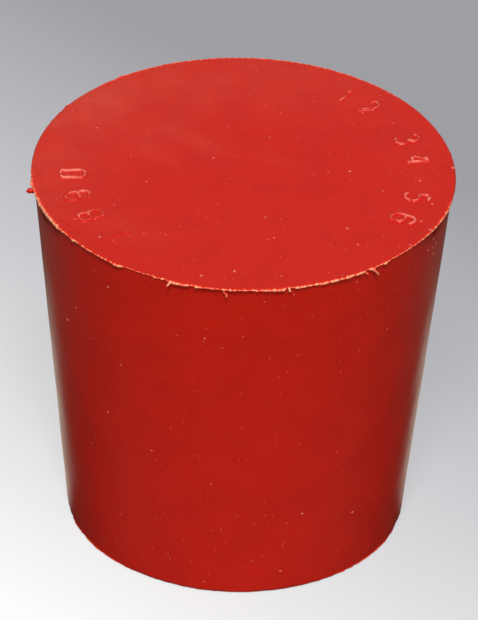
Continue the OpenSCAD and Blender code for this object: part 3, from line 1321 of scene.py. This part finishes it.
# Half of the floor's width, the cells across it, and how far it lies below the small end's face
FLOOR_HALF = 3.0
FLOOR_CELLS = 12
FLOOR_GAP = 0.005 * MM
# How bright the wall behind the floor is shown
WALL_LIGHT = 0.7
# How far to the right of the axis the camera looks
AIM_RIGHT = -0.064 * MM


class STOPPER_OT_stage(bpy.types.Operator):
    """Build the floor, the lamps, the room light and the camera"""

    bl_idname = "stopper.stage"
    bl_label = "Stage"

    def execute(self, context):
        """Adds the floor, the room light, a key lamp high in front, a broad low fill and the camera."""
        scene = context.scene
        stage = scene.stopper_stage
        self.add_floor()
        self.add_room_light(stage)
        aim = Vector((0.0, 0.0, BASE_Z + HEIGHT / 2))
        add_lamp("key", 268, 59, 0.30, stage.key_power, aim)
        add_lamp("fill", 280, 20, 1.50, stage.fill_power, aim)
        self.add_camera(scene, stage)
        scene.view_settings.view_transform = "Standard"
        return {"FINISHED"}

    def add_floor(self):
        """A flat square grid, just clear of the small end's face."""
        step = np.linspace(-FLOOR_HALF, FLOOR_HALF, FLOOR_CELLS + 1)
        x, y = np.meshgrid(step, step, indexing="ij")
        points = np.stack([x, y, np.full(x.shape, CAD_LOW.z - FLOOR_GAP)], -1).reshape(-1, 3)
        row, column = np.meshgrid(np.arange(FLOOR_CELLS), np.arange(FLOOR_CELLS), indexing="ij")
        first = row * len(step) + column
        across = first + len(step)
        quads = np.stack([first, across, across + 1, first + 1], -1).reshape(-1, 4)
        floor = new_object("paper_floor", points, quads, NO_TRIANGLES)
        floor.data.materials.append(floor_material())

    def add_room_light(self, stage):
        """Even light from all round, shown to the camera as a pale wall."""
        world = bpy.data.worlds.new("room")
        bpy.context.scene.world = world
        shader = Shader(world)
        seen = shader.node("ShaderNodeLightPath").out("Is Camera Ray")
        strength = seen * WALL_LIGHT + stage.room_light * (1 - seen)
        light = shader.node("ShaderNodeBackground", None, {"Color": (1, 1, 1, 1), "Strength": strength})
        shader.node("ShaderNodeOutputWorld", None, {"Surface": light.out()})

    def add_camera(self, scene, stage):
        """A long lens that looks at a point close to the axis from the front, above the floor."""
        tilt = stage.camera_height
        roll = stage.camera_roll
        right = Vector((1.0, 0.0, 0.0))
        up = Vector((0.0, math.sin(tilt), math.cos(tilt)))
        back = Vector((0.0, -math.cos(tilt), math.sin(tilt)))
        rolled_right = right * math.cos(roll) + up * math.sin(roll)
        rolled_up = up * math.cos(roll) - right * math.sin(roll)
        data = bpy.data.cameras.new("camera")
        data.lens = stage.camera_lens
        data.sensor_width = 36.0
        data.clip_start = 0.01
        data.clip_end = 20.0
        camera = bpy.data.objects.new("camera", data)
        facing = Matrix((rolled_right, rolled_up, back)).transposed().to_4x4()
        aim = Vector((AIM_RIGHT, 0.0, stage.camera_aim))
        camera.matrix_world = Matrix.Translation(aim + back * stage.camera_distance) @ facing
        scene.collection.objects.link(camera)
        scene.camera = camera


# ---- Panel and start ----

OPERATORS = (
    STOPPER_OT_rubber,
    STOPPER_OT_plug,
    STOPPER_OT_flash,
    STOPPER_OT_threads,
    STOPPER_OT_crumbs,
    STOPPER_OT_dust,
    STOPPER_OT_digits,
    STOPPER_OT_stage,
)


class STOPPER_PT_panel(bpy.types.Panel):
    """Lists the settings and the steps that build the stopper"""

    bl_label = "Rubber Stopper"
    bl_idname = "STOPPER_PT_panel"
    bl_space_type = "VIEW_3D"
    bl_region_type = "UI"
    bl_category = "Stopper"

    def draw(self, context):
        """Draws a box for each group of settings, and a button for each step."""
        layout = self.layout
        scene = context.scene
        for group in (scene.stopper_sizes, scene.stopper_colours, scene.stopper_stage):
            box = layout.box()
            for name in group.__annotations__:
                box.prop(group, name)
        for operator in OPERATORS:
            layout.operator(operator.bl_idname)


GROUPS = (StopperSizes, StopperColours, StageSettings)
CLASSES = (*GROUPS, *OPERATORS, STOPPER_PT_panel)


def register():
    """Registers the classes, and puts the settings on the scene."""
    for cls in CLASSES:
        bpy.utils.register_class(cls)
    bpy.types.Scene.stopper_sizes = PointerProperty(type=StopperSizes)
    bpy.types.Scene.stopper_colours = PointerProperty(type=StopperColours)
    bpy.types.Scene.stopper_stage = PointerProperty(type=StageSettings)


def unregister():
    """Takes the settings off the scene, and the classes away."""
    del bpy.types.Scene.stopper_stage
    del bpy.types.Scene.stopper_colours
    del bpy.types.Scene.stopper_sizes
    for cls in reversed(CLASSES):
        bpy.utils.unregister_class(cls)


def main():
    """Builds everything in order."""
    register()
    for operator in OPERATORS:
        group, name = operator.bl_idname.split(".")
        getattr(getattr(bpy.ops, group), name)()


if __name__ == "__main__":
    main()
